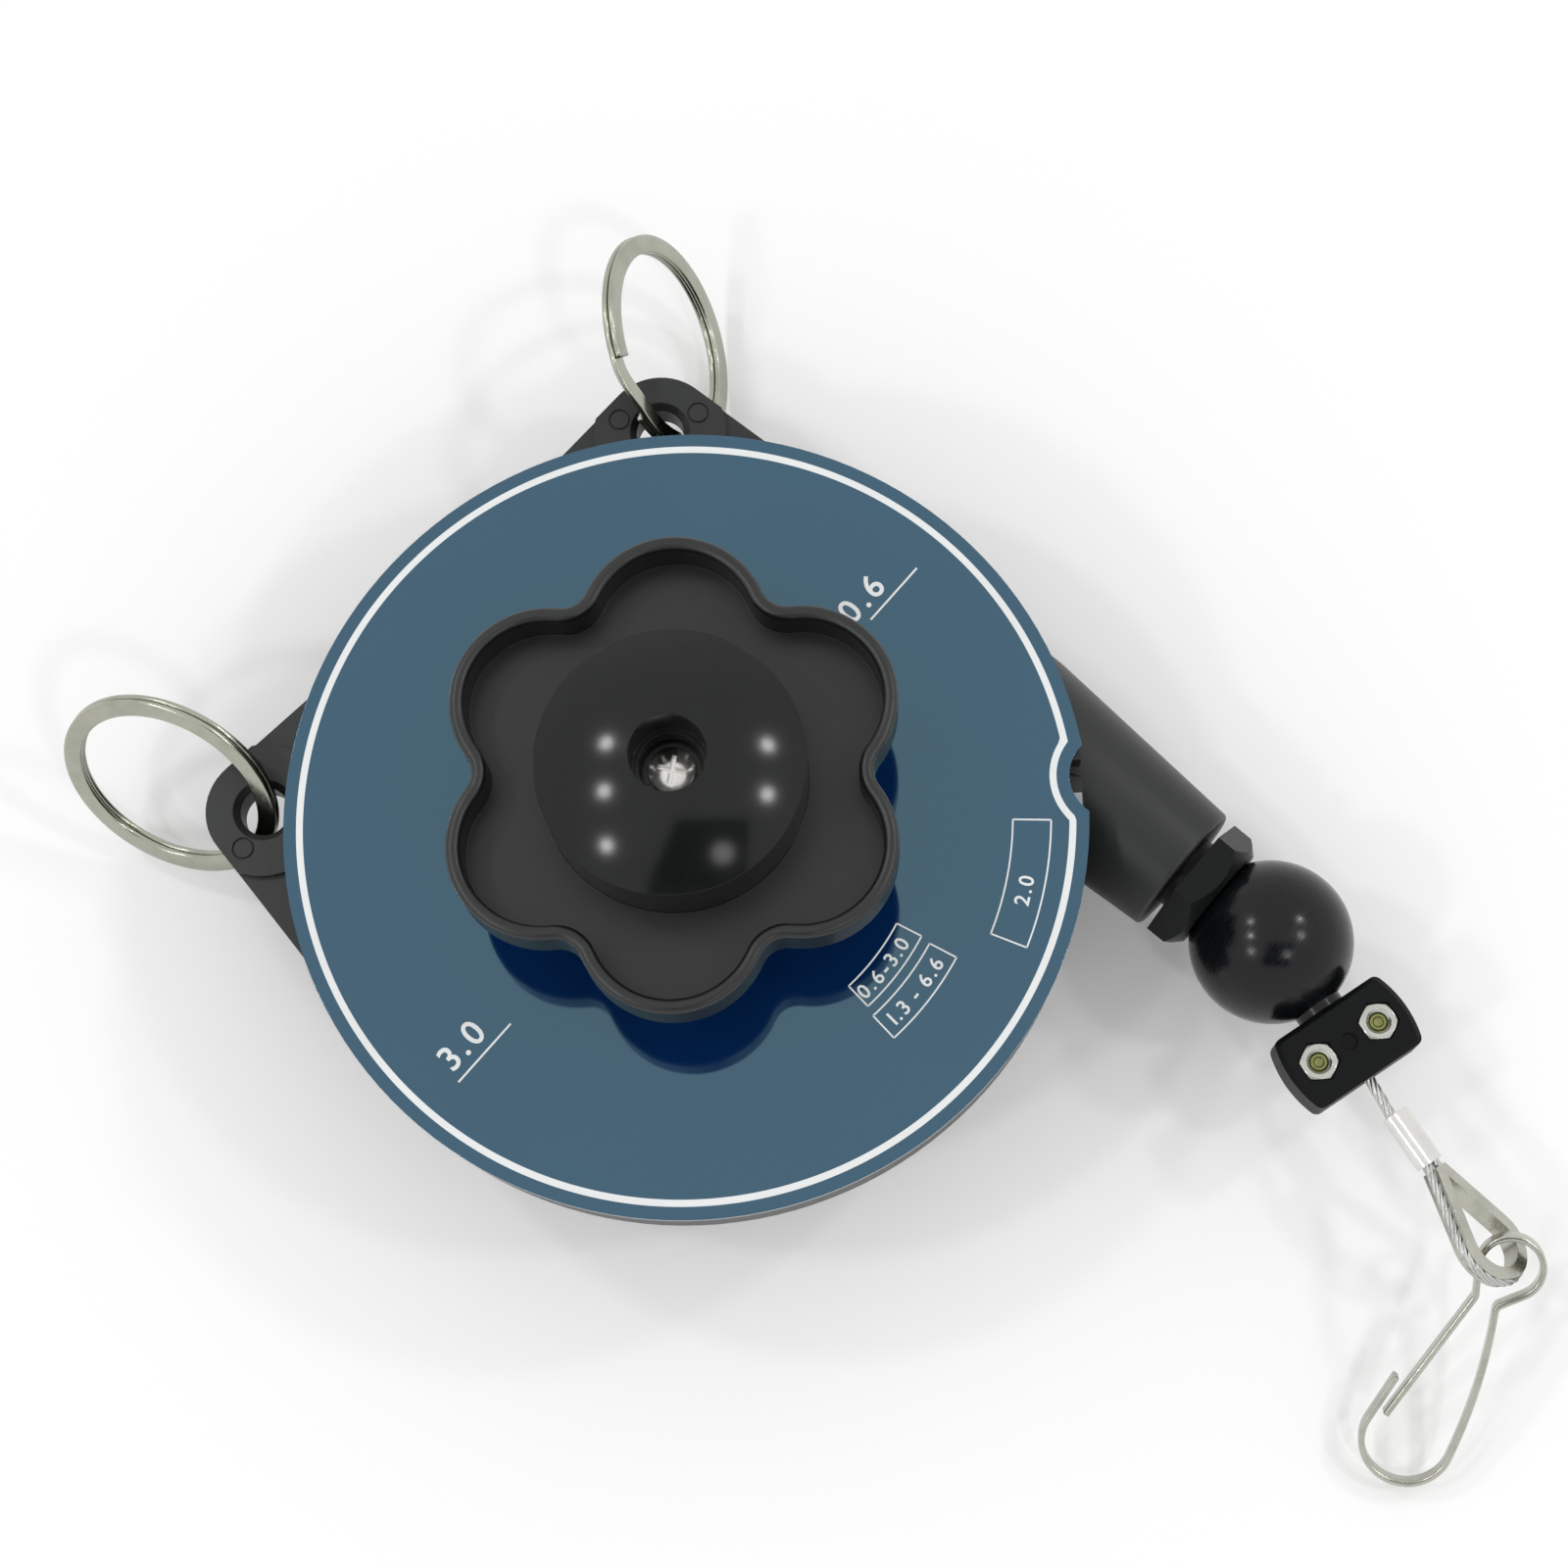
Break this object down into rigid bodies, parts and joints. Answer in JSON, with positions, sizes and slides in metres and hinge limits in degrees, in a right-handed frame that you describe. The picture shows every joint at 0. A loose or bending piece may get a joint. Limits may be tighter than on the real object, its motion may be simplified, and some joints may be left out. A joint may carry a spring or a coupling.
{
  "type": "tool balancer",
  "caption": "Hanging spring balancer: round case with a lobed tension knob, suspension and safety rings, and a retracting cable ending in a snap hook.",
  "frame": {"origin": "on the drum shaft's axis, at the back face of the case", "axes": "+Z along the shaft towards the knob, cable leaves along -Y, lugs on the +Y side"},
  "size_m": [0.156, 0.2707, 0.087],
  "materials": {
    "case_plastic": "satin",
    "smooth_plastic": "semi-gloss",
    "gloss_black": "gloss",
    "blue_enamel": "gloss",
    "zinc_steel": "satin",
    "spring_steel": "satin",
    "bronze": "satin",
    "drum_plastic": "satin",
    "cable_steel": "satin",
    "bright_chrome": "polished",
    "yellow_zinc": "satin",
    "nickel_steel": "polished"
  },
  "bodies": {
    "housing": {"rear_housing": "case_plastic", "front_cover": "case_plastic", "face_plate": "blue_enamel", "cable_nozzle": "case_plastic", "outlet_bush": "smooth_plastic", "housing_screws": "zinc_steel", "rear_bush": "bronze", "front_bush": "bronze", "pawl_pin": "zinc_steel", "pawl_clip": "spring_steel", "pawl_spring": "spring_steel", "cable_run": "cable_steel"},
    "drum_unit": {"drum": "drum_plastic", "drum_bush": "bronze", "drum_cover": "zinc_steel", "drum_cover_screws": "zinc_steel", "power_spring": "spring_steel", "cable_winding": "cable_steel", "cable_anchor": "zinc_steel"},
    "shaft": {"spindle": "zinc_steel", "ratchet_wheel": "spring_steel", "retaining_ring": "spring_steel", "tension_knob": "gloss_black", "knob_washer": "zinc_steel", "knob_screw": "bright_chrome"},
    "pawl": {"release_pawl": "spring_steel"},
    "cable_end": {"ball_buffer": "gloss_black", "clamp_upper": "case_plastic", "clamp_lower": "case_plastic", "clamp_screws": "yellow_zinc", "clamp_nuts": "bright_chrome", "cable_clamped": "cable_steel"},
    "eye_end": {"cable_neck": "cable_steel", "ferrule": "bright_chrome", "thimble": "bright_chrome", "cable_eye": "cable_steel"},
    "hook": {"snap_hook": "bright_chrome"},
    "gate": {"hook_gate": "bright_chrome"},
    "top_ring_body": {"top_ring": "nickel_steel"},
    "safety_ring_body": {"safety_ring": "nickel_steel"}
  },
  "joints": [
    {"name": "drum_spin", "type": "hinge", "parent": "housing", "child": "drum_unit", "pos_m": [0, 0, 0.0172], "axis": [0, 0, -1], "range_deg": [0, 2162.11], "deforming": ["power_spring"]},
    {"name": "cable_pull", "type": "slide", "parent": "housing", "child": "cable_end", "axis": [0, -1, 0], "range_m": [0, 2], "stiffness_N_per_m": 2, "springref_m": -3, "deforming": ["cable_run"]},
    {"name": "eye_swing", "type": "hinge", "parent": "cable_end", "child": "eye_end", "pos_m": [0.04514, -0.11843, 0.024], "axis": [0, 0, 1], "range_deg": [-30, 30], "stiffness_Nm_per_rad": 0.01, "deforming": ["cable_neck"]},
    {"name": "hook_swing", "type": "hinge", "parent": "eye_end", "child": "hook", "pos_m": [0.03416, -0.15804, 0.024], "axis": [-0.3919, -0.1969, 0.8987], "range_deg": [-60, 120]},
    {"name": "gate_press", "type": "hinge", "parent": "hook", "child": "gate", "pos_m": [0.03239, -0.15282, 0.02192], "axis": [-0.3919, -0.1969, 0.8987], "range_deg": [0, 14], "stiffness_Nm_per_rad": 0.1, "springref_deg": -5.73},
    {"name": "knob_turn", "type": "hinge", "parent": "housing", "child": "shaft", "pos_m": [0, 0, 0.035], "axis": [0, 0, 1], "range_deg": [0, 1800]},
    {"name": "pawl_lift", "type": "hinge", "parent": "housing", "child": "pawl", "pos_m": [0.017, -0.02944, 0.036], "axis": [0, 0, 1], "range_deg": [-1, 6.4], "stiffness_Nm_per_rad": 0.02, "springref_deg": 17.19},
    {"name": "top_ring_swing", "type": "hinge", "parent": "housing", "child": "top_ring_body", "pos_m": [0.05387, 0.05501, 0.024], "axis": [0, 0, 1], "range_deg": [-40, 40]},
    {"name": "safety_ring_swing", "type": "hinge", "parent": "housing", "child": "safety_ring_body", "pos_m": [-0.04623, 0.06158, 0.024], "axis": [0, 0, 1], "range_deg": [-40, 40]}
  ],
  "couplings": [
    {"joint": "cable_pull", "follows": "drum_spin", "m_per_rad": 0.053}
  ]
}
